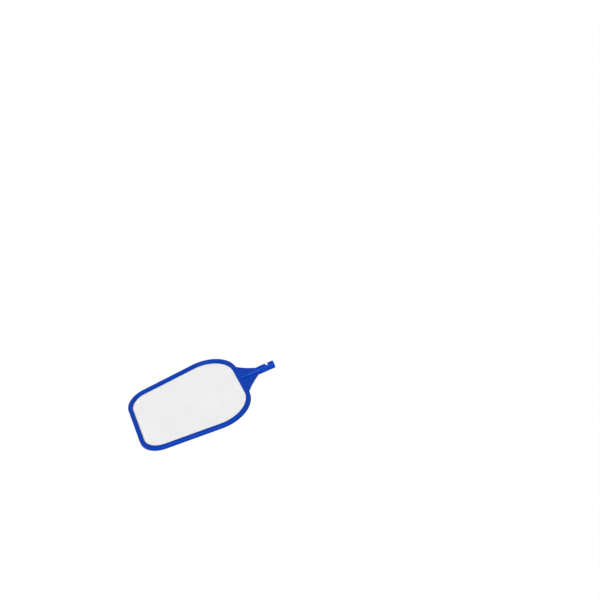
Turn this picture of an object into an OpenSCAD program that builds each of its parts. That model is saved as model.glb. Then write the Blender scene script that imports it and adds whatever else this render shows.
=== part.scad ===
// Head of a hand leaf skimmer for a pool: a moulded hoop with a web and a
// hollow spigot, a flat net in the hoop's groove, and a V-shaped spring clip
// whose lock pin stands out of the spigot and drops into a hole in a pole.
// X runs from the front lip to the tip of the spigot, Z is up, and the origin
// is at the middle of the overall box, on the surface that the hoop lies on.

/* [Hoop] */
// Overall length, from the front lip to the tip of the spigot
overall_len = 454; // [400:1:520]
// Length of the hoop, from the front lip to its back edge
hoop_len = 348; // [320:1:370]
// Width across the front corners, before they are rounded
front_w = 283; // [240:1:290]
// Width across the back corners, before they are rounded
back_w = 361; // [330:1:370]
// Outer radius of the two front corners
front_r = 70; // [50:1:80]
// Outer radius of the two back corners
back_r = 106; // [90:1:110]
// Width of the hoop's section
rim_w = 12; // [9:0.1:14]
// Height of the hoop's section
rim_h = 10.3; // [8.5:0.1:13]
// Radius along the hoop's two upper edges
rim_edge_r = 2.6; // [1:0.1:3.5]
// Chamfer along the hoop's two lower edges
base_edge = 0.8; // [0.4:0.1:1.2]

/* [Net] */
// Thickness of the net
net_t = 0.8; // [0.5:0.1:1.2]
// Height of the net's underside above the hoop's base
net_z = 2.2; // [1.5:0.1:3.5]
// How far the net reaches into the hoop's groove
net_grip = 3.2; // [2:0.1:5]
// Gap between the net and each wall of the groove
net_gap = 0.1; // [0.05:0.05:0.3]
// Number of openings along the net
net_cols = 17; // [8:1:17]
// Number of openings across the net
net_rows = 17; // [8:1:17]
// Width of the plain hem that shows inside the hoop
net_hem = 1; // [0.5:0.1:2]
// Width of the net's strands
strand_w = 1.6; // [1:0.1:3]

/* [Web] */
// Half width of the web where it leaves the hoop
web_half_w = 67; // [55:1:72]
// Radius of the web's hollow flanks
flare_r = 230; // [140:5:400]
// Thickness of the web's plate
web_plate_t = 2.4; // [1.5:0.1:4]
// Height of the flanges round the web
web_flange_h = 7.2; // [6:0.1:9]
// Thickness of the flanges
web_flange_t = 2.4; // [1.5:0.1:4]
// How far the flanges stand above the plate
web_lip_h = 0.8; // [0.3:0.1:1.5]
// Slope of the web up towards the spigot, in degrees
web_slope = 6; // [0:0.5:7]
// Height of the web's upper edge above the hoop's base, at the hoop
web_root_z = 10.7; // [9:0.1:11]
// Radius of the cone rib at the hoop
cone_nose_r = 2.4; // [1.5:0.1:4]

/* [Spigot] */
// Outer radius of the spigot
spigot_r = 12; // [10:0.1:14]
// Length of the spigot's straight part
spigot_len = 50; // [46:1:60]
// Length of the seat, the full-size part of the spigot next to the web
seat_len = 21; // [12:1:22]
// How much smaller the radius of the spigot's nose is than its seat's
nose_step = 0.3; // [0.2:0.1:0.8]
// Wall of the spigot's nose
spigot_wall = 2; // [1.6:0.1:2.4]
// Chamfer at the spigot's tip
tip_chamfer = 0.8; // [0.3:0.1:1.5]
// Distance from the tip to the centre of the lock pin
pin_from_tip = 22; // [16:1:30]

/* [Spring clip] */
// Radius of the lock pin
pin_r = 4.2; // [3:0.1:4.5]
// How far the lock pin stands out of the spigot
pin_out = 4.4; // [3:0.1:6]
// Distance from the clip's bend to the lock pin
leg_len = 42; // [38:1:44]
// Length of the legs beyond the lock pin
leg_past = 5.5; // [4.5:0.1:8]
// Width of the clip's strip
strip_w = 8.4; // [6:0.1:9]
// Thickness of the clip's strip
strip_t = 1.4; // [1:0.1:1.8]
// Inner radius of the clip's bend
bend_r = 1.4; // [1:0.1:2]
// Gap between the clip and the wall of the bore
clip_gap = 0.3; // [0.1:0.05:0.5]
// Slit between the bend and the sprung leg
bend_slit = 0.2; // [0.1:0.05:0.4]
// Gap round the lock pin in its hole
pin_gap = 0.3; // [0.2:0.05:0.6]

/* [Hidden] */
$fn = 96;
corner_steps = 24;
edge_steps = 4;
blue = [0.05, 0.20, 0.72];
white = [0.93, 0.94, 0.95];

// Ends of the hoop and of the spigot along X
lip_x = -overall_len / 2;
tip_x = overall_len / 2;
back_x = lip_x + hoop_len;
spigot_root_x = tip_x - spigot_len;
pin_x = tip_x - pin_from_tip;
spigot_z = spigot_r;

// The sides of the hoop run out from the front to the back at this angle
side_angle = atan((back_w - front_w) / 2 / hoop_len);

// Centre of a corner's arc, on the +Y side: it lies a radius inside the side
// and a radius inside the lip or the back edge
function side_y(x) = front_w / 2 + (x - lip_x) * tan(side_angle);
function corner_x(front) = front ? lip_x + front_r : back_x - back_r;
function corner_r(front) = front ? front_r : back_r;
function corner_y(front) = side_y(corner_x(front)) - corner_r(front) / cos(side_angle);

// Each corner turns from the outward normal of one edge to that of the next
side_normal = 90 + side_angle;

// Points along an arc
function arc(c, r, from, to, steps) =
    [for (i = [0:steps]) let (a = from + (to - from) * i / steps)
        c + r * [cos(a), sin(a)]];

// The hoop's four corners, each with its arc's centre, radius and two angles
function corner(front, side, from, to) =
    [[corner_x(front), side * corner_y(front)], corner_r(front), from, to];
corners = [
    corner(false, 1, 0, side_normal),
    corner(true, 1, side_normal, 180),
    corner(true, -1, 180, 360 - side_normal),
    corner(false, -1, 360 - side_normal, 360)];

// Plan of the hoop, set in by a distance
function outline(inset) =
    [for (c = corners) each arc(c[0], c[1] - inset, c[2], c[3], corner_steps)];

// The groove's depth leaves the net a gap at its bottom too
groove_d = net_grip + net_gap;

// The web's upper edge rises from the hoop to the spigot
function web_top_z(x) = web_root_z + (x - back_x) * tan(web_slope);
// Its root lies in the middle of the wall outside the groove
web_root_x = back_x - (rim_w - groove_d) / 2;
// Its end lies in the spigot, with its upper and lower corners inside the wall
web_bury = 2;
web_sunk = 0.1;
web_low = spigot_z - web_top_z(spigot_root_x) + web_flange_h;
web_high = web_top_z(spigot_root_x + web_bury) - spigot_z;
web_end_w = sqrt(pow(spigot_r - web_sunk, 2) - pow(max(web_low, web_high), 2));

// Centre of a flank's arc, which runs from the hoop to the spigot
flank_from = [back_x, web_half_w];
flank_to = [spigot_root_x, web_end_w];
flank_chord = flank_to - flank_from;
flank_c = (flank_from + flank_to) / 2
    + sqrt(flare_r * flare_r / (flank_chord * flank_chord) - 1 / 4)
    * [-flank_chord.y, flank_chord.x];

// The cone rib starts over the hoop and grows into the spigot
cone_x = back_x - web_bury;
function cone_radius(x) = cone_nose_r
    + (spigot_r - cone_nose_r) * (x - cone_x) / (spigot_root_x - cone_x);
nose_r = spigot_r - nose_step;
bore_r = nose_r - spigot_wall;

// The clip turns about the middle of its bend, on the spigot's axis
pivot_x = pin_x - leg_len;
bend_out_r = bend_r + strip_t;
leg_end = leg_len + leg_past;
leg_reach = sqrt(bore_r * bore_r - strip_w * strip_w / 4) - clip_gap;
leg_angle = asin(leg_reach / norm([leg_end, bend_out_r])) - atan(bend_out_r / leg_end);
slit_angle = bend_slit / (bend_r + strip_t / 2) * 180 / PI;

// The bore narrows towards the clip's bend and ends behind it
bore_end_gap = 2.5;
bend_gap = 0.8;
bore_end_x = pivot_x - bend_out_r - bore_end_gap;
bore_end_r = norm([bend_out_r, strip_w / 2]) + bend_gap;
bore_taper = 15.3;
bore_neck_x = bore_end_x + bore_taper;
cut_past = 1;

// Where the cone rib is too slim for the bore, a housing keeps the wall round it
housing_x = bore_end_x - spigot_wall;
housing_r = bore_end_r + spigot_wall;

// The pin is pressed until it is flush, and drifts towards the tip meanwhile
pin_top = nose_r + pin_out;
pin_dome_r = 7;
press_angle = asin(pin_out / (leg_len - pin_r));
pin_drift = nose_r * sin(press_angle) - leg_len * (1 - cos(press_angle))
    + pin_out * sin(press_angle);
pin_hole_r = pin_r + pin_gap + pin_drift / 2;

// Section of the hoop, counter-clockwise, with its outer wall at x = 0
rim_section = concat(
    [[-base_edge, 0], [0, base_edge]],
    arc([-rim_edge_r, rim_h - rim_edge_r], rim_edge_r, 0, 90, edge_steps),
    arc([rim_edge_r - rim_w, rim_h - rim_edge_r], rim_edge_r, 90, 180, edge_steps),
    [[-rim_w, net_z + net_t + net_gap], [groove_d - rim_w, net_z + net_t + net_gap],
    [groove_d - rim_w, net_z - net_gap], [-rim_w, net_z - net_gap],
    [-rim_w, base_edge], [base_edge - rim_w, 0]]);

// The section stands at each station round the hoop, and faces join the stations
module rim() {
    stations = [for (c = corners, i = [0:corner_steps])
        [c[0], c[1], c[2] + (c[3] - c[2]) * i / corner_steps]];
    around = len(rim_section);
    total = len(stations);
    points = [for (s = stations, p = rim_section)
        [s[0].x + (s[1] + p.x) * cos(s[2]), s[0].y + (s[1] + p.x) * sin(s[2]), p.y]];
    faces = [for (i = [0:total - 1], j = [0:around - 1])
        let (next = (i + 1) % total, up = (j + 1) % around)
        each [[i * around + j, next * around + up, next * around + j],
            [i * around + j, i * around + up, next * around + up]]];
    polyhedron(points, faces);
}

// Plan of the web, with its root at x and its flanks set in by a distance
module web_plan(x, inset) {
    difference() {
        polygon([[x, -web_half_w], [back_x, -web_half_w],
            [spigot_root_x, -web_end_w], [spigot_root_x + web_bury, -web_end_w],
            [spigot_root_x + web_bury, web_end_w], [spigot_root_x, web_end_w],
            [back_x, web_half_w], [x, web_half_w]]);
        for (side = [-1, 1])
            translate([flank_c.x, side * flank_c.y])
                circle(flare_r + inset, $fn = 360);
    }
}

// A sloping slice of space, between two heights measured from the web's upper edge
module web_slice(low, high) {
    translate([back_x, 0, web_root_z])
        rotate([0, -web_slope, 0])
            translate([-rim_w, -back_w / 2, low])
                cube([overall_len, back_w, high - low]);
}

module web_part(x, inset, low, high) {
    intersection() {
        linear_extrude(back_w, center = true)
            web_plan(x, inset);
        web_slice(low, high);
    }
}

module web() {
    plate_low = -web_lip_h - web_plate_t;
    difference() {
        web_part(web_root_x, 0, -web_flange_h, 0);
        web_part(back_x + web_flange_t, web_flange_t, -web_lip_h, web_flange_h);
        web_part(back_x + web_flange_t, web_flange_t, -2 * web_flange_h, plate_low);
    }
}

// Shapes along the spigot's axis
module on_axis(x) {
    translate([x, 0, spigot_z])
        rotate([0, 90, 0])
            children();
}

module spigot() {
    on_axis(cone_x)
        cylinder(h = spigot_root_x - cone_x, r1 = cone_nose_r, r2 = spigot_r);
    on_axis(cone_x)
        sphere(cone_nose_r);
    on_axis(housing_x)
        cylinder(h = spigot_root_x - housing_x, r1 = housing_r, r2 = spigot_r);
    on_axis(spigot_root_x)
        cylinder(h = seat_len, r = spigot_r);
    on_axis(spigot_root_x + seat_len)
        cylinder(h = spigot_len - seat_len - tip_chamfer, r = nose_r);
    on_axis(tip_x - tip_chamfer)
        cylinder(h = tip_chamfer, r1 = nose_r, r2 = nose_r - tip_chamfer);
}

module bore() {
    on_axis(bore_end_x)
        cylinder(h = bore_neck_x - bore_end_x, r1 = bore_end_r, r2 = bore_r);
    on_axis(bore_neck_x)
        cylinder(h = tip_x - bore_neck_x + cut_past, r = bore_r);
    translate([pin_x + pin_drift / 2, 0, spigot_z])
        cylinder(h = spigot_r + cut_past, r = pin_hole_r);
}

module frame() {
    color(blue)
        difference() {
            union() {
                rim();
                web();
                spigot();
            }
            bore();
        }
}

module net() {
    long = (hoop_len - 2 * rim_w) / net_cols;
    wide = (back_w - 2 * rim_w) / net_rows;
    color(white)
        translate([0, 0, net_z])
            linear_extrude(net_t)
                difference() {
                    polygon(outline(rim_w - net_grip));
                    intersection() {
                        polygon(outline(rim_w + net_hem));
                        for (i = [0:net_cols - 1], j = [0:net_rows - 1])
                            translate([lip_x + rim_w + i * long + strand_w / 2,
                                (j - net_rows / 2) * wide + strand_w / 2])
                                square([long - strand_w, wide - strand_w]);
                    }
                }
}

module at_pivot() {
    translate([pivot_x, 0, spigot_z])
        children();
}

// The bend and the fixed leg are one strip, drawn from the side
module clip_fixed_leg() {
    bend_from = 90 + leg_angle + slit_angle;
    bend_to = 270 - leg_angle;
    leg_ends = [for (r = [bend_out_r, bend_r])
        r * [cos(bend_to), sin(bend_to)] + leg_end * [-sin(bend_to), cos(bend_to)]];
    color(white)
        at_pivot()
            rotate([90, 0, 0])
                linear_extrude(strip_w, center = true)
                    polygon(concat(
                        arc([0, 0], bend_out_r, bend_from, bend_to, corner_steps),
                        leg_ends,
                        arc([0, 0], bend_r, bend_to, bend_from, corner_steps)));
}

module lock_pin() {
    translate([leg_len, 0, 0])
        intersection() {
            cylinder(h = pin_top, r = pin_r);
            translate([0, 0, pin_top - pin_dome_r])
                sphere(pin_dome_r);
        }
}

module clip_sprung_leg() {
    color(white)
        at_pivot() {
            rotate([0, -leg_angle, 0])
                translate([0, -strip_w / 2, bend_r])
                    cube([leg_end, strip_w, strip_t]);
            difference() {
                lock_pin();
                rotate([0, -leg_angle, 0])
                    translate([0, -strip_w, bend_r + strip_t / 2 - leg_end])
                        cube([2 * leg_end, 2 * strip_w, leg_end]);
            }
        }
}

frame();
net();
clip_fixed_leg();
clip_sprung_leg();
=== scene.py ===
import logging
import math
from collections.abc import Callable, Iterable, Iterator, Sequence
from contextlib import contextmanager
from dataclasses import dataclass
from enum import Enum

import bmesh
import bpy
import numpy as np
from mathutils import Euler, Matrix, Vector


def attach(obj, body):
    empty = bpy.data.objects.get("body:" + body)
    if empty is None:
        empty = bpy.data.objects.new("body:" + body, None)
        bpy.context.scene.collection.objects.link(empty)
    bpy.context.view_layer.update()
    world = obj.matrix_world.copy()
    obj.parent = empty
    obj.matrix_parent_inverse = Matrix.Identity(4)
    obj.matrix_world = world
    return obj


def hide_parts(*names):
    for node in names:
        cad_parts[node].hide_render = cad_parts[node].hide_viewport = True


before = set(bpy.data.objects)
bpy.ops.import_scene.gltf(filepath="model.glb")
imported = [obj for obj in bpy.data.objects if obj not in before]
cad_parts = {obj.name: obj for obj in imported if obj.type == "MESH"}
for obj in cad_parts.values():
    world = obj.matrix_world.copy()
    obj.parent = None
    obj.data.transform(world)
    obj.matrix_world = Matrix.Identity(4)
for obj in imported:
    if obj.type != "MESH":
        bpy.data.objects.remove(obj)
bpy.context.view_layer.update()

log = logging.getLogger("skimmer_head")

MM = 0.001
MERGE = 0.01 * MM
WELD = 0.002 * MM
SHARP_DEGREES = 35

Point = tuple[float, float]
Place = tuple[float, float, float]
Corner = tuple[float, float, float]
Colour = tuple[float, float, float]
Height = Callable[[float], float]


class Body(Enum):
    """The moving groups of the head."""

    HEAD = "head"
    LOCK = "lock"


class Slot(Enum):
    """The record's finishes for the pieces made here."""

    PLASTIC = "blue_plastic"
    MESH = "net_mesh"


class Join(Enum):
    """The ways in which a solid changes another."""

    ADDED = "UNION"
    CUT_OUT = "DIFFERENCE"


# ---------------------------------------------------------------- mesh helpers


def mesh_object(
    name: str, points: Sequence, faces: Sequence, edges: Sequence = ()
) -> bpy.types.Object:
    """Makes an object from points, faces and loose edges.

    Args:
        name: The object's name.
        points: Its points, in metres.
        faces: Its faces, as lists of point numbers.
        edges: Its loose edges, as pairs of point numbers.

    Returns:
        The new object, linked to the scene.
    """
    mesh = bpy.data.meshes.new(name)
    mesh.from_pydata([tuple(p) for p in points], list(edges), list(faces))
    mesh.update()
    made = bpy.data.objects.new(name, mesh)
    bpy.context.scene.collection.objects.link(made)
    return made


def line_object(name: str, points: Sequence, closed: bool) -> bpy.types.Object:
    """Makes an object that holds one line of edges.

    Args:
        name: The object's name.
        points: The line's points, in metres.
        closed: Whether the last point joins the first.

    Returns:
        The new object, linked to the scene.
    """
    count = len(points)
    edges = [(i, (i + 1) % count) for i in range(count if closed else count - 1)]
    return mesh_object(name, points, [], edges)


@contextmanager
def editing(piece: bpy.types.Object) -> Iterator[bmesh.types.BMesh]:
    """Opens an object's mesh for changes, and writes it back at the end.

    Args:
        piece: The object whose mesh changes.

    Returns:
        A context that gives the mesh as a bmesh.
    """
    shape = bmesh.new()
    shape.from_mesh(piece.data)
    yield shape
    shape.to_mesh(piece.data)
    shape.free()


def applied(piece: bpy.types.Object) -> bpy.types.Object:
    """Turns an object's modifiers into a plain mesh.

    Args:
        piece: The object whose modifiers are applied.

    Returns:
        The same object, with the result as its mesh and no modifier.
    """
    bpy.context.view_layer.update()
    graph = bpy.context.evaluated_depsgraph_get()
    result = bpy.data.meshes.new_from_object(piece.evaluated_get(graph))
    old = piece.data
    piece.modifiers.clear()
    piece.data = result
    bpy.data.meshes.remove(old)
    return piece


def removed(*pieces: bpy.types.Object) -> None:
    """Deletes helper objects with their meshes.

    Args:
        pieces: The objects to delete.
    """
    for piece in pieces:
        mesh = piece.data
        bpy.data.objects.remove(piece)
        bpy.data.meshes.remove(mesh)


def joined(name: str, parts: Iterable[bpy.types.Object]) -> bpy.types.Object:
    """Puts several meshes into one object.

    Args:
        name: The new object's name.
        parts: The objects whose meshes it takes. They are deleted.

    Returns:
        The new object.
    """
    parts = list(parts)
    made = mesh_object(name, [], [])
    with editing(made) as shape:
        for part in parts:
            shape.from_mesh(part.data)
    removed(*parts)
    return made


def outward(piece: bpy.types.Object) -> bpy.types.Object:
    """Makes every face of a closed mesh point outwards.

    Args:
        piece: The object to correct.

    Returns:
        The same object.
    """
    with editing(piece) as shape:
        bmesh.ops.remove_doubles(shape, verts=shape.verts, dist=MERGE)
        bmesh.ops.recalc_face_normals(shape, faces=shape.faces)
    return piece


def dress(piece: bpy.types.Object, material: bpy.types.Material) -> None:
    """Makes a material the only one of an object."""
    piece.data.materials.clear()
    piece.data.materials.append(material)


def finished(piece: bpy.types.Object, material: bpy.types.Material) -> None:
    """Dresses a mesh in one material and shades it smooth, apart from its sharp edges.

    Args:
        piece: The object to finish.
        material: Its material.
    """
    dress(piece, material)
    piece.data.polygons.foreach_set("material_index", [0] * len(piece.data.polygons))
    piece.data.shade_smooth()
    piece.data.set_sharp_from_angle(angle=math.radians(SHARP_DEGREES))
    even = piece.modifiers.new("even", "WEIGHTED_NORMAL")
    even.keep_sharp = True
    applied(piece)


def arc(centre: Point, radius: float, start: float, end: float, steps: int) -> list[Point]:
    """Points along an arc.

    Args:
        centre: The arc's centre.
        radius: Its radius.
        start: The angle of its first point, in degrees.
        end: The angle of its last point, in degrees.
        steps: How many steps it is cut into.

    Returns:
        Its points, one more than its steps.
    """
    angles = [math.radians(start + (end - start) * i / steps) for i in range(steps + 1)]
    return [(centre[0] + radius * math.cos(a), centre[1] + radius * math.sin(a)) for a in angles]


def rounded(corners: Sequence[Corner], closed: bool, steps: int = 5) -> list[Point]:
    """A line with rounded corners.

    Args:
        corners: The two coordinates of each corner, and its radius.
        closed: Whether the last corner joins the first. The ends of an open line stay as they are.
        steps: How many steps each round is cut into.

    Returns:
        The line's points.
    """
    places = [Vector(corner[:2]) for corner in corners]
    made = []
    for i, (x, y, radius) in enumerate(corners):
        if radius == 0 or (not closed and i in (0, len(corners) - 1)):
            made.append((x, y))
            continue
        back = (places[i - 1] - places[i]).normalized()
        onward = (places[(i + 1) % len(corners)] - places[i]).normalized()
        half = back.angle(onward) / 2
        middle = places[i] + (back + onward).normalized() * (radius / math.sin(half))
        first = places[i] + back * (radius / math.tan(half)) - middle
        last = places[i] + onward * (radius / math.tan(half)) - middle
        start = math.atan2(first.y, first.x)
        turn = math.remainder(math.atan2(last.y, last.x) - start, math.tau)
        made += arc(tuple(middle), radius, math.degrees(start), math.degrees(start + turn), steps)
    return made


def mirrored(line: list[Point]) -> list[Point]:
    """The plan between a line on the +Y side and its mirror image on the other."""
    return [(x, -y) for x, y in reversed(line)] + line


def combined(
    piece: bpy.types.Object, others: Iterable[bpy.types.Object], join: Join
) -> bpy.types.Object:
    """Adds solids to a piece, or cuts them out of it.

    Args:
        piece: The piece that changes.
        others: The solids, which are deleted.
        join: Whether they are added or cut out.

    Returns:
        The same piece, closed and free of faces with no area.
    """
    for other in others:
        step = piece.modifiers.new("combine", "BOOLEAN")
        step.operation = join.value
        step.solver = "EXACT"
        step.object = other
        applied(piece)
        removed(other)
    with editing(piece) as shape:
        bmesh.ops.remove_doubles(shape, verts=shape.verts, dist=WELD)
        bmesh.ops.dissolve_degenerate(shape, dist=WELD, edges=shape.edges)
    return piece


def prism(name: str, plan: Sequence[Point], low: Height, high: Height) -> bpy.types.Object:
    """A solid with a plan and two surfaces over it.

    Args:
        name: The object's name.
        plan: Its outline, counter-clockwise.
        low: The height of its underside at a given x.
        high: The height of its upper side at a given x.

    Returns:
        The new object.
    """
    count = len(plan)
    points = [(x, y, low(x)) for x, y in plan] + [(x, y, high(x)) for x, y in plan]
    sides = [(i, (i + 1) % count, count + (i + 1) % count, count + i) for i in range(count)]
    faces = [tuple(reversed(range(count))), tuple(range(count, 2 * count)), *sides]
    made = mesh_object(name, points, faces)
    with editing(made) as shape:
        ends = [face for face in shape.faces if len(face.verts) == count]
        bmesh.ops.triangulate(shape, faces=ends)
    return made


def turned(
    name: str, profile: Sequence[Point], height: float, steps: int = 96
) -> bpy.types.Object:
    """A closed solid turned about a line along X.

    Args:
        name: The object's name.
        profile: Its profile as pairs of x and radius, from one end on the line to the other.
        height: The height of the line.
        steps: How many steps a turn is cut into.

    Returns:
        The new object.
    """
    angles = [math.tau * i / steps for i in range(steps)]
    points = [(x, r * math.cos(a), height + r * math.sin(a)) for x, r in profile for a in angles]
    faces = []
    for low in range(0, (len(profile) - 1) * steps, steps):
        high = low + steps
        for i in range(steps):
            j = (i + 1) % steps
            faces.append((low + i, low + j, high + j, high + i))
    return outward(mesh_object(name, points, faces))


def section_object(outline: Sequence[Point]) -> bpy.types.Object:
    """A section for a sweep, as a closed ring of edges. A sweep turns a section's heights over.

    Args:
        outline: The section's points, with their heights upwards.

    Returns:
        The ring.
    """
    return line_object("section", [(x, -z, 0) for x, z in outline], True)


# ------------------------------------------------------- geometry node sweeps


class SweepTree:
    """A geometry node tree that sweeps a section along the edges of a mesh."""

    def __init__(self, name: str) -> None:
        """Builds the tree.

        Args:
            name: The tree's name.
        """
        tree = bpy.data.node_groups.new(name, "GeometryNodeTree")
        face = tree.interface
        face.new_socket("Path", in_out="INPUT", socket_type="NodeSocketGeometry")
        self.section = face.new_socket("Section", in_out="INPUT", socket_type="NodeSocketObject")
        self.material = face.new_socket("Material", in_out="INPUT", socket_type="NodeSocketMaterial")
        self.ends = face.new_socket("Close ends", in_out="INPUT", socket_type="NodeSocketBool")
        face.new_socket("Sweep", in_out="OUTPUT", socket_type="NodeSocketGeometry")
        nodes, link = tree.nodes, tree.links.new
        start, end = nodes.new("NodeGroupInput"), nodes.new("NodeGroupOutput")
        path = nodes.new("GeometryNodeMeshToCurve")
        upright = nodes.new("GeometryNodeSetCurveNormal")
        upright.mode = "Z_UP"
        info = nodes.new("GeometryNodeObjectInfo")
        section = nodes.new("GeometryNodeMeshToCurve")
        sweep = nodes.new("GeometryNodeCurveToMesh")
        real = nodes.new("GeometryNodeRealizeInstances")
        finish = nodes.new("GeometryNodeSetMaterial")
        link(start.outputs["Path"], path.inputs["Mesh"])
        link(path.outputs["Curve"], upright.inputs["Curve"])
        link(start.outputs["Section"], info.inputs["Object"])
        link(info.outputs["Geometry"], section.inputs["Mesh"])
        link(upright.outputs["Curve"], sweep.inputs["Curve"])
        link(section.outputs["Curve"], sweep.inputs["Profile Curve"])
        link(start.outputs["Close ends"], sweep.inputs["Fill Caps"])
        link(sweep.outputs["Mesh"], real.inputs["Geometry"])
        link(real.outputs["Geometry"], finish.inputs["Geometry"])
        link(start.outputs["Material"], finish.inputs["Material"])
        link(finish.outputs["Geometry"], end.inputs["Sweep"])
        self.tree = tree

    def swept(
        self,
        path: bpy.types.Object,
        section: bpy.types.Object,
        material: bpy.types.Material,
        close_ends: bool,
    ) -> bpy.types.Object:
        """Sweeps a section along a path and keeps the plain mesh.

        Args:
            path: A mesh of edges, which becomes the sweep.
            section: A mesh of edges in its XY plane, which is deleted.
            material: The sweep's material.
            close_ends: Whether the sweep gets caps.

        Returns:
            The path's object, now holding the swept mesh.
        """
        modifier = path.modifiers.new("sweep", "NODES")
        modifier.node_group = self.tree
        modifier[self.section.identifier] = section
        modifier[self.material.identifier] = material
        modifier[self.ends.identifier] = close_ends
        applied(path)
        removed(section)
        return outward(path)


# ------------------------------------------------------------------- materials


def shader(name: str) -> tuple[bpy.types.Material, bpy.types.NodeTree, bpy.types.ShaderNode]:
    """A new material with a plain Principled shader.

    Args:
        name: The material's name.

    Returns:
        The material, its node tree and its shader node.
    """
    material = bpy.data.materials.new(name)
    material.use_nodes = True
    tree = material.node_tree
    return material, tree, tree.nodes["Principled BSDF"]


def feed(tree: bpy.types.NodeTree, node: bpy.types.Node, values: dict[str, object]) -> None:
    """Fills a node's inputs.

    Args:
        tree: The node tree that the node is in.
        node: The node.
        values: What each named input gets: a socket to link, or a plain value.
    """
    for name, value in values.items():
        if isinstance(value, bpy.types.NodeSocket):
            tree.links.new(value, node.inputs[name])
        else:
            node.inputs[name].default_value = value


def noise(
    tree: bpy.types.NodeTree, place: bpy.types.NodeSocket, scale: float, detail: float
) -> bpy.types.NodeSocket:
    """Adds a noise texture.

    Args:
        tree: The node tree that it goes in.
        place: The socket that gives the place.
        scale: Its scale.
        detail: Its detail.

    Returns:
        The noise's value.
    """
    node = tree.nodes.new("ShaderNodeTexNoise")
    feed(tree, node, {"Vector": place, "Scale": scale, "Detail": detail})
    return node.outputs["Fac"]


def spread(
    tree: bpy.types.NodeTree,
    value: bpy.types.NodeSocket,
    source: Point,
    low: float | bpy.types.NodeSocket,
    high: float | bpy.types.NodeSocket,
) -> bpy.types.NodeSocket:
    """Maps a value from one span to another.

    Args:
        tree: The node tree that the node goes in.
        value: The value to map.
        source: The span that it comes in.
        low: What the span's low end becomes, a number or a socket.
        high: What the span's high end becomes, a number or a socket.

    Returns:
        The mapped value.
    """
    node = tree.nodes.new("ShaderNodeMapRange")
    feed(tree, node, {"Value": value, "From Min": source[0], "From Max": source[1]})
    feed(tree, node, {"To Min": low, "To Max": high})
    return node.outputs["Result"]


def tinted(
    tree: bpy.types.NodeTree, share: bpy.types.NodeSocket, dark: object, light: object
) -> bpy.types.NodeSocket:
    """Mixes two colours.

    Args:
        tree: The node tree that the node goes in.
        share: The lighter colour's share.
        dark: The darker colour, with its alpha, or a socket that gives it.
        light: The lighter colour, with its alpha, or a socket that gives it.

    Returns:
        The mixed colour.
    """
    node = tree.nodes.new("ShaderNodeMix")
    node.data_type = "RGBA"
    feed(tree, node, {"Factor": share, "A": dark, "B": light})
    return node.outputs["Result"]


class MouldedSkin:
    """A node group for the skin of a moulded part: mottled colour, uneven gloss and fine grain.

    CLOUD, STREAK, GRAIN and SCUFF are the scale and detail of each pattern.
    """

    INPUTS = {
        "Dark": "NodeSocketColor",
        "Light": "NodeSocketColor",
        "Smoothest": "NodeSocketFloat",
        "Roughest": "NodeSocketFloat",
    }
    OUTPUTS = {
        "Colour": "NodeSocketColor",
        "Roughness": "NodeSocketFloat",
        "Height": "NodeSocketFloat",
    }
    CLOUD = (14.0, 3.0)
    STREAK = (1.0, 2.0)
    GRAIN = (900.0, 2.0)
    SCUFF = (160.0, 4.0)
    STREAK_STRETCH = (30.0, 90.0, 90.0)
    TONE_SPAN = (0.7, 1.3)
    SCUFF_SPAN = (0.35, 0.7)

    def __init__(self) -> None:
        """Builds the group."""
        tree = bpy.data.node_groups.new("moulded_skin", "ShaderNodeTree")
        for name, kind in self.INPUTS.items():
            tree.interface.new_socket(name, in_out="INPUT", socket_type=kind)
        for name, kind in self.OUTPUTS.items():
            tree.interface.new_socket(name, in_out="OUTPUT", socket_type=kind)
        nodes, link = tree.nodes, tree.links.new
        start, end = nodes.new("NodeGroupInput").outputs, nodes.new("NodeGroupOutput").inputs
        place = nodes.new("ShaderNodeTexCoord").outputs["Object"]
        flow = nodes.new("ShaderNodeMapping")
        feed(tree, flow, {"Vector": place, "Scale": self.STREAK_STRETCH})
        both = nodes.new("ShaderNodeMath")
        both.operation = "ADD"
        link(noise(tree, place, *self.CLOUD), both.inputs[0])
        link(noise(tree, flow.outputs["Vector"], *self.STREAK), both.inputs[1])
        tone = spread(tree, both.outputs[0], self.TONE_SPAN, 0.0, 1.0)
        link(tinted(tree, tone, start["Dark"], start["Light"]), end["Colour"])
        scuff = noise(tree, place, *self.SCUFF)
        gloss = spread(tree, scuff, self.SCUFF_SPAN, start["Smoothest"], start["Roughest"])
        link(gloss, end["Roughness"])
        link(noise(tree, place, *self.GRAIN), end["Height"])
        self.tree = tree

    def placed(
        self, tree: bpy.types.NodeTree, dark: Colour, light: Colour, gloss: Point
    ) -> bpy.types.ShaderNodeGroup:
        """Puts the group in a material.

        Args:
            tree: The material's node tree.
            dark: The skin's darker colour.
            light: The skin's lighter colour.
            gloss: Its least and greatest roughness.

        Returns:
            The group's node.
        """
        node = tree.nodes.new("ShaderNodeGroup")
        node.node_tree = self.tree
        feed(tree, node, {"Dark": (*dark, 1), "Light": (*light, 1)})
        feed(tree, node, {"Smoothest": gloss[0], "Roughest": gloss[1]})
        return node


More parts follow.
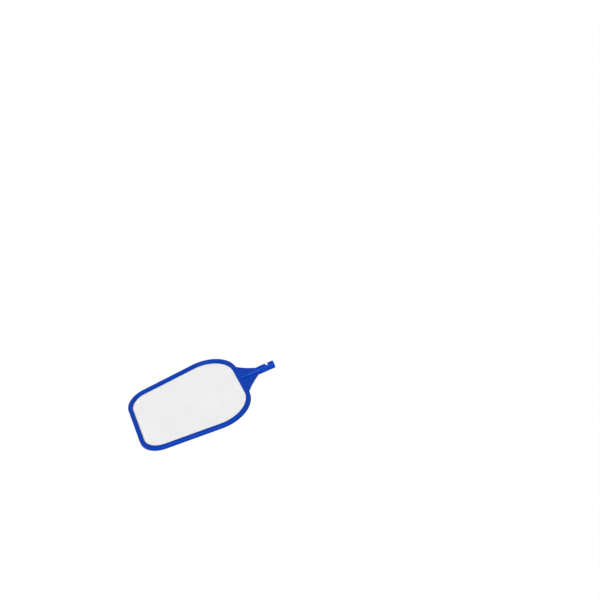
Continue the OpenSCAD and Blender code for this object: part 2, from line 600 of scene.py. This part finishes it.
@dataclass(frozen=True)
class MouldedPlastic:
    """A moulded plastic finish."""

    name: str
    dark: Colour
    light: Colour
    gloss: Point
    grain: float
    grain_strength: float = 0.25
    ior: float = 1.49
    shine: float = 0.06
    glow: float = 0.0
    glow_radius: Colour = (1.0, 1.0, 1.0)
    glow_depth: float = 1.0 * MM

    def built(self, skin: MouldedSkin) -> bpy.types.Material:
        """Makes the material.

        Args:
            skin: The node group of the skin.

        Returns:
            The material.
        """
        material, tree, surface = shader(self.name)
        group = skin.placed(tree, self.dark, self.light, self.gloss)
        bump = tree.nodes.new("ShaderNodeBump")
        feed(tree, bump, {"Height": group.outputs["Height"], "Distance": self.grain})
        feed(tree, bump, {"Strength": self.grain_strength})
        feed(tree, surface, {
            "Base Color": group.outputs["Colour"],
            "Roughness": group.outputs["Roughness"],
            "Normal": bump.outputs["Normal"],
            "IOR": self.ior,
            "Specular IOR Level": self.shine,
            "Subsurface Weight": self.glow,
            "Subsurface Radius": self.glow_radius,
            "Subsurface Scale": self.glow_depth,
        })
        return material


@dataclass(frozen=True)
class Yarn:
    """The finish of the net's monofilament yarn.

    cloud and fibre are the scale and detail of two patterns, and their spans what shows of them.
    """

    name: str
    dark: Colour
    light: Colour
    roughness: Point
    cloud: Point = (11.0, 2.0)
    cloud_span: Point = (0.35, 0.65)
    fibre: Point = (1650.0, 1.0)
    fibre_span: Point = (0.3, 0.7)

    def built(self) -> bpy.types.Material:
        """Makes the material.

        Returns:
            The material.
        """
        material, tree, surface = shader(self.name)
        place = tree.nodes.new("ShaderNodeTexCoord").outputs["Object"]
        tone = spread(tree, noise(tree, place, *self.cloud), self.cloud_span, 0.0, 1.0)
        gloss = spread(tree, noise(tree, place, *self.fibre), self.fibre_span, *self.roughness)
        colour = tinted(tree, tone, (*self.dark, 1), (*self.light, 1))
        feed(tree, surface, {"Base Color": colour, "Roughness": gloss})
        return material


# ---------------------------------------------------------------------- shapes


@dataclass(frozen=True)
class HoopPlan:
    """The hoop's outline: straight sides that widen towards the back, and four round corners."""

    lip_x: float = -227.0 * MM
    back_x: float = 121.0 * MM
    front_w: float = 283.0 * MM
    back_w: float = 361.0 * MM
    front_r: float = 70.0 * MM
    back_r: float = 106.0 * MM
    corner_steps: int = 48

    @property
    def side_angle(self) -> float:
        """The angle at which the sides widen, in degrees."""
        return math.degrees(math.atan2((self.back_w - self.front_w) / 2, self.back_x - self.lip_x))

    def corner_centre(self, x: float, radius: float) -> Point:
        """The centre of a corner on the +Y side.

        Args:
            x: Where the centre is along X.
            radius: The corner's radius.

        Returns:
            The centre.
        """
        slope = math.radians(self.side_angle)
        side = self.front_w / 2 + (x - self.lip_x) * math.tan(slope)
        return x, side - radius / math.cos(slope)

    def corners(self) -> list[tuple[Point, float, float, float]]:
        """The four corners, counter-clockwise from the back.

        Returns:
            Each corner's centre, radius and first and last angle.
        """
        normal = 90 + self.side_angle
        back = self.corner_centre(self.back_x - self.back_r, self.back_r)
        front = self.corner_centre(self.lip_x + self.front_r, self.front_r)
        return [
            (back, self.back_r, 0, normal),
            (front, self.front_r, normal, 180),
            ((front[0], -front[1]), self.front_r, 180, 360 - normal),
            ((back[0], -back[1]), self.back_r, 360 - normal, 360),
        ]

    def outline(self, inset: float) -> list[Point]:
        """The outline, set in by a distance.

        Args:
            inset: How far it is set in.

        Returns:
            Its points, counter-clockwise.
        """
        made = []
        for centre, radius, start, end in self.corners():
            made += arc(centre, radius - inset, start, end, self.corner_steps)
        return made


@dataclass(frozen=True)
class HoopSection:
    """The hoop's section. The hoop's outline is at zero, and the floor at its base.

    The section reaches past its width by a fullness on either side.
    """

    width: float = 12.0 * MM
    height: float = 10.3 * MM
    outer_fullness: float = 1.2 * MM
    inner_fullness: float = 0.9 * MM
    top_r: float = 2.6 * MM
    base_r: float = 0.8 * MM

    def points(self) -> list[Point]:
        """The section's points.

        Returns:
            The points, counter-clockwise.
        """
        left, right = -self.width - self.inner_fullness, self.outer_fullness
        top, base = (self.height, self.top_r), (0, self.base_r)
        return rounded([(right, *base), (right, *top), (left, *top), (left, *base)], True)


@dataclass
class Moulding:
    """The blue moulding: hoop, web, cone rib and hollow spigot."""

    plan: HoopPlan
    section: HoopSection
    overall: float = 454.0 * MM
    web_half_w: float = 67.0 * MM
    flare_r: float = 230.0 * MM
    flare_steps: int = 40
    web_root_z: float = 10.7 * MM
    web_slope: float = 6.0
    web_sunk: float = 0.1 * MM
    flange_h: float = 7.2 * MM
    flange_t: float = 2.4 * MM
    flange_edge_r: float = 0.7 * MM
    lip_h: float = 0.8 * MM
    plate_t: float = 2.4 * MM
    nose_cone_r: float = 2.4 * MM
    nose_cone_steps: int = 8
    spigot_r: float = 12.0 * MM
    spigot_len: float = 50.0 * MM
    neck_blend_r: float = 40.0 * MM
    seat_len: float = 21.0 * MM
    nose_step: float = 0.3 * MM
    wall: float = 2.0 * MM
    tip_edge_r: float = 0.8 * MM
    bore_end_x: float = 157.7 * MM
    bore_end_r: float = 5.85 * MM
    bore_neck_x: float = 173.0 * MM
    pin_hole_x: float = 205.79 * MM
    pin_hole_r: float = 5.29 * MM
    pin_hole_steps: int = 48
    bury: float = 2.0 * MM

    @property
    def tip_x(self) -> float:
        """The spigot's tip."""
        return self.overall / 2

    @property
    def root_x(self) -> float:
        """The start of the spigot's straight part."""
        return self.tip_x - self.spigot_len

    @property
    def nose_r(self) -> float:
        """The radius of the spigot's nose."""
        return self.spigot_r - self.nose_step

    def web_top(self, x: float) -> float:
        """The height of the web's upper edge at x."""
        return self.web_root_z + (x - self.plan.back_x) * math.tan(math.radians(self.web_slope))

    def plate_top(self, x: float) -> float:
        """The height of the plate's upper side at x, a lip's height under the web's edge."""
        return self.web_top(x) - self.lip_h

    def flank(self, inset: float, past: float) -> list[Point]:
        """One hollow flank of the web, on the +Y side.

        Args:
            inset: How far it is set in from the web's edge.
            past: How far it runs on past the spigot's wall and past the hoop's.

        Returns:
            Its points from the spigot to the hoop.
        """
        low = self.spigot_r - self.web_top(self.root_x) + self.flange_h
        high = self.web_top(self.root_x + self.bury) - self.spigot_r
        reach = self.spigot_r - self.web_sunk
        end = Vector((self.root_x, math.sqrt(reach**2 - max(low, high) ** 2)))
        start = Vector((self.plan.back_x, self.web_half_w))
        chord = end - start
        # The arc's centre stands off the middle of its chord, by Pythagoras in chord lengths.
        away = Vector((-chord.y, chord.x)) * math.sqrt((self.flare_r / chord.length) ** 2 - 0.5**2)
        centre = (start + end) / 2 + away
        radius = self.flare_r + inset
        first, last = (
            math.degrees(math.atan2(p.y - centre.y, p.x - centre.x)) % 360 for p in (end, start)
        )
        more = math.copysign(math.degrees(past / radius), last - first)
        return arc(tuple(centre), radius, first - more, last + more, self.flare_steps)

    def web(self, sweeps: SweepTree, material: bpy.types.Material) -> list[bpy.types.Object]:
        """The web's plate, the wall along its root and the two flanges along its flanks.

        Args:
            sweeps: The tree that sweeps the flanges' section.
            material: The moulding's material.

        Returns:
            The four solids.
        """
        middle = self.flank(self.flange_t / 2, self.bury)
        root = [(x, y) for x, y in middle if x < self.plan.back_x + self.flange_t]
        half_t, half_h = self.flange_t / 2, self.flange_h / 2
        quarters = ((1, 1), (1, -1), (-1, -1), (-1, 1))
        edge = rounded([(x * half_t, z * half_h, self.flange_edge_r) for x, z in quarters], True)
        made = [
            prism(
                "web_plate", mirrored(middle), lambda x: self.plate_top(x) - self.plate_t, self.plate_top
            ),
            prism("web_root", mirrored(root), lambda x: self.web_top(x) - self.flange_h, self.web_top),
        ]
        for side in (1, -1):
            line = [(x, side * y, self.web_top(x) - half_h) for x, y in middle]
            path = line_object("web_flange", line, False)
            made.append(sweeps.swept(path, section_object(edge), material, True))
        return made

    def stem(self) -> bpy.types.Object:
        """The cone rib and the spigot, not yet bored.

        Returns:
            The solid.
        """
        start, seat_end = self.plan.back_x - self.bury, self.root_x + self.seat_len
        tilt = math.degrees(math.atan2(self.spigot_r - self.nose_cone_r, self.root_x - start))
        nose = arc((start, 0), self.nose_cone_r, 180, 90 + tilt, self.nose_cone_steps)
        body = rounded(
            [
                (*nose[-1], 0),
                (self.root_x, self.spigot_r, self.neck_blend_r),
                (seat_end, self.spigot_r, self.nose_step / 2),
                (seat_end, self.nose_r, 0),
                (self.tip_x, self.nose_r, self.tip_edge_r),
                (self.tip_x, 0, 0),
            ],
            False,
        )
        return turned("stem", nose[:-1] + body, self.spigot_r)

    def bore(self) -> bpy.types.Object:
        """What the bore takes out of the stem.

        Returns:
            The cutter.
        """
        radius = self.nose_r - self.wall
        past = self.tip_x + self.bury
        profile = [
            (self.bore_end_x, 0),
            (self.bore_end_x, self.bore_end_r),
            (self.bore_neck_x, radius),
            (self.tip_x - self.tip_edge_r / 2, radius),
            (past, radius + self.bury + self.tip_edge_r / 2),
            (past, 0),
        ]
        return turned("bore_cutter", profile, self.spigot_r)

    def pin_hole(self) -> bpy.types.Object:
        """What the lock pin's hole takes out of the spigot's top.

        Returns:
            The cutter.
        """
        steps = self.pin_hole_steps
        rim = arc((self.pin_hole_x, 0), self.pin_hole_r, 0, 360 * (steps - 1) / steps, steps - 1)
        well_above = 3 * self.spigot_r
        return prism("hole_cutter", rim, lambda x: self.spigot_r, lambda x: well_above)

    def built(self, sweeps: SweepTree, material: bpy.types.Material) -> bpy.types.Object:
        """Makes the moulding as one solid.

        Args:
            sweeps: The tree that sweeps the hoop's section.
            material: The moulding's material.

        Returns:
            The finished piece.
        """
        ring = [(x, y, 0) for x, y in self.plan.outline(0)]
        piece = line_object("frame_moulding", ring, True)
        sweeps.swept(piece, section_object(self.section.points()), material, False)
        combined(piece, [*self.web(sweeps, material), self.stem()], Join.ADDED)
        combined(piece, [self.bore(), self.pin_hole()], Join.CUT_OUT)
        finished(piece, material)
        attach(piece, Body.HEAD.value)
        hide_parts("frame")
        return piece


@dataclass
class Net:
    """The fine net, of straight yarns in two directions, held in the hoop all round.

    The two sets of yarns lie off the net's middle by their lift, a share of half their thickness.
    """

    plan: HoopPlan
    section: HoopSection
    height: float = 2.6 * MM
    grip: float = 2.6 * MM
    pitch: float = 1.3 * MM
    yarn_w: float = 0.38 * MM
    yarn_t: float = 0.30 * MM
    lift: float = 0.8
    sag: float = 0.9 * MM
    steps: int = 12
    sides: int = 6

    @property
    def rim(self) -> list[Point]:
        """The net's edge, inside the hoop's section."""
        return self.plan.outline(self.section.width - self.grip)

    def spans(self, along_x: bool) -> list[tuple[Point, Point]]:
        """Where each yarn of one direction starts and ends.

        Args:
            along_x: Whether the yarns run along X.

        Returns:
            The two ends of each yarn.
        """
        ring = np.array(self.rim)
        along, across = (ring[:, 0], ring[:, 1]) if along_x else (ring[:, 1], ring[:, 0])
        next_along, next_across = np.roll(along, -1), np.roll(across, -1)
        count = int((across.max() - across.min()) / self.pitch)
        first = (across.max() + across.min() - (count - 1) * self.pitch) / 2
        made = []
        for place in first + self.pitch * np.arange(count):
            crossed = (across <= place) != (next_across <= place)
            share = (place - across[crossed]) / (next_across[crossed] - across[crossed])
            hits = along[crossed] + share * (next_along[crossed] - along[crossed])
            low, high = float(hits.min()), float(hits.max())
            made.append(((low, place), (high, place)) if along_x else ((place, low), (place, high)))
        return made

    def level(self, x: float, y: float) -> float:
        """The height of the net's middle layer, which hangs a little inside the hoop.

        Args:
            x: The place along X.
            y: The place along Y.

        Returns:
            The height.
        """
        middle = (self.plan.lip_x + self.plan.back_x) / 2
        u = 2 * (x - middle) / (self.plan.back_x - self.plan.lip_x)
        v = 2 * y / self.plan.front_w
        return self.height - self.sag * max(0.0, 1 - u * u) * max(0.0, 1 - v * v)

    def yarns(self, along_x: bool, lift: float) -> bpy.types.Object:
        """The centre lines of one direction's yarns.

        Args:
            along_x: Whether they run along X.
            lift: How far they lie above the net's middle.

        Returns:
            An object that holds them as edges.
        """
        points, edges = [], []
        for (x0, y0), (x1, y1) in self.spans(along_x):
            start = len(points)
            for i in range(self.steps + 1):
                x, y = x0 + (x1 - x0) * i / self.steps, y0 + (y1 - y0) * i / self.steps
                points.append((x, y, self.level(x, y) + lift))
            edges += [(start + i, start + i + 1) for i in range(self.steps)]
        return mesh_object("yarns", points, [], edges)

    def built(self, sweeps: SweepTree, material: bpy.types.Material) -> bpy.types.Object:
        """Makes the net.

        Args:
            sweeps: The tree that sweeps a yarn's section.
            material: The yarn's material.

        Returns:
            The finished piece.
        """
        half_w, half_t = self.yarn_w / 2, self.yarn_t / 2
        angles = [math.tau * i / self.sides for i in range(self.sides)]
        outline = [(half_w * math.cos(a), half_t * math.sin(a)) for a in angles]
        sets = []
        for along_x, lift in ((True, half_t * self.lift), (False, -half_t * self.lift)):
            section = section_object(outline)
            sets.append(sweeps.swept(self.yarns(along_x, lift), section, material, True))
        piece = joined("net_mesh", sets)
        dress(piece, material)
        ring = self.rim
        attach(piece, Body.HEAD.value)
        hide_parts("net")
        return piece


@dataclass
class SpringClip:
    """The nylon spring clip in the spigot, with its lock pin."""

    fixed_leg: str = "clip_fixed_leg"
    sprung_leg: str = "clip_sprung_leg"

    def dressed(self, material: bpy.types.Material) -> None:
        """Gives the clip's two legs their finish.

        Args:
            material: The nylon.
        """
        for name, body in ((self.fixed_leg, Body.HEAD), (self.sprung_leg, Body.LOCK)):
            dress(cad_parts[name], material)
            log.info("%s: dressed, on the %s", name, body.value)


# ---------------------------------------------------------------------- studio


@dataclass
class Studio:
    """The floor, the light and the camera."""

    camera_place: Place = (-0.10511, -2.4084, 1.8276)
    camera_turn: Place = (55.0812, 14.0369, -20.5681)
    lens: float = 60.0
    sensor: float = 36.0
    nearest: float = 0.01
    floor_size: float = 60.0
    floor_gap: float = 0.05 * MM
    floor_white: float = 0.62
    floor_own: float = 0.92
    floor_glow: float = 1.036
    world_strength: float = 0.15
    key_from: Place = (-0.55, -1.85, 2.17)
    key_spread: float = 24.0
    key_strength: float = 3.35

    def camera(self) -> None:
        """Sets up the camera."""
        data = bpy.data.cameras.new("camera")
        data.lens = self.lens
        data.sensor_width = self.sensor
        data.clip_start = self.nearest
        made = bpy.data.objects.new("camera", data)
        made.location = self.camera_place
        made.rotation_euler = Euler([math.radians(a) for a in self.camera_turn])
        bpy.context.scene.collection.objects.link(made)
        bpy.context.scene.camera = made

    def seen(self, tree: bpy.types.NodeTree) -> bpy.types.NodeSocket:
        """A mask that is 1 for rays that show the background.

        Args:
            tree: The node tree that it goes in.

        Returns:
            The mask's socket.
        """
        path = tree.nodes.new("ShaderNodeLightPath")
        mask = path.outputs["Is Camera Ray"]
        for other in ("Is Glossy Ray", "Is Transmission Ray"):
            both = tree.nodes.new("ShaderNodeMath")
            both.operation = "MAXIMUM"
            tree.links.new(mask, both.inputs[0])
            tree.links.new(path.outputs[other], both.inputs[1])
            mask = both.outputs[0]
        return mask

    def floor(self) -> None:
        """Lays the white floor."""
        half, level = self.floor_size / 2, -self.floor_gap
        quarters = ((-1, -1), (1, -1), (1, 1), (-1, 1))
        corners = [(x * half, y * half, level) for x, y in quarters]
        piece = mesh_object("floor", corners, [range(len(corners))])
        material = bpy.data.materials.new("white_floor")
        material.use_nodes = True
        tree = material.node_tree
        tree.nodes.clear()
        diffuse = tree.nodes.new("ShaderNodeBsdfDiffuse")
        diffuse.inputs["Color"].default_value = (self.floor_white,) * 3 + (1,)
        own = tree.nodes.new("ShaderNodeEmission")
        own.inputs["Strength"].default_value = self.floor_glow
        mix = tree.nodes.new("ShaderNodeMixShader")
        share = tree.nodes.new("ShaderNodeMath")
        share.operation = "MULTIPLY"
        share.inputs[1].default_value = self.floor_own
        output = tree.nodes.new("ShaderNodeOutputMaterial")
        link = tree.links.new
        link(self.seen(tree), share.inputs[0])
        link(share.outputs[0], mix.inputs["Fac"])
        link(diffuse.outputs[0], mix.inputs[1])
        link(own.outputs[0], mix.inputs[2])
        link(mix.outputs[0], output.inputs["Surface"])
        piece.data.materials.append(material)

    def world(self) -> None:
        """Sets up the white surroundings."""
        made = bpy.data.worlds.new("studio")
        made.use_nodes = True
        tree = made.node_tree
        backdrop = tree.nodes["Background"]
        backdrop.inputs["Color"].default_value = (1, 1, 1, 1)
        mix = tree.nodes.new("ShaderNodeMix")
        mix.inputs["A"].default_value = self.world_strength
        mix.inputs["B"].default_value = 1.0
        tree.links.new(self.seen(tree), mix.inputs["Factor"])
        tree.links.new(mix.outputs["Result"], backdrop.inputs["Strength"])
        bpy.context.scene.world = made

    def key(self) -> None:
        """Hangs the one soft light, which is as strong everywhere."""
        data = bpy.data.lights.new("key_light", "SUN")
        data.angle = math.radians(self.key_spread)
        data.energy = self.key_strength
        made = bpy.data.objects.new("key_light", data)
        made.location = self.key_from
        made.rotation_euler = Vector(self.key_from).to_track_quat("Z", "Y").to_euler()
        bpy.context.scene.collection.objects.link(made)

    def built(self) -> None:
        """Sets up the whole studio."""
        self.camera()
        self.floor()
        self.world()
        self.key()
        bpy.context.scene.view_settings.view_transform = "Standard"


# ------------------------------------------------------------------------ main


BLUE = MouldedPlastic(
    name="blue_polypropylene",
    dark=(0.001, 0.045, 0.4),
    light=(0.002, 0.053, 0.435),
    gloss=(0.26, 0.36),
    grain=0.02 * MM,
)
NYLON = MouldedPlastic(
    name="white_nylon",
    dark=(0.84, 0.85, 0.86),
    light=(0.93, 0.94, 0.94),
    gloss=(0.3, 0.45),
    grain=0.01 * MM,
    ior=1.53,
    glow=0.25,
)
YARN = Yarn(
    name="polyester_yarn",
    dark=(0.75, 0.752, 0.752),
    light=(0.805, 0.803, 0.803),
    roughness=(0.35, 0.5),
)


def main() -> None:
    """Builds the head and its studio."""
    logging.basicConfig(level=logging.INFO, format="%(name)s: %(message)s")
    Studio().built()
    log.info("studio set up")
    skin, sweeps = MouldedSkin(), SweepTree("section_along_path")
    plan, section = HoopPlan(), HoopSection()
    moulding = Moulding(plan, section).built(sweeps, BLUE.built(skin))
    log.info("%s: %d faces", moulding.name, len(moulding.data.polygons))
    net = Net(plan, section).built(sweeps, YARN.built())
    log.info("%s: %d faces", net.name, len(net.data.polygons))
    SpringClip().dressed(NYLON.built(skin))


if __name__ == "__main__":
    main()
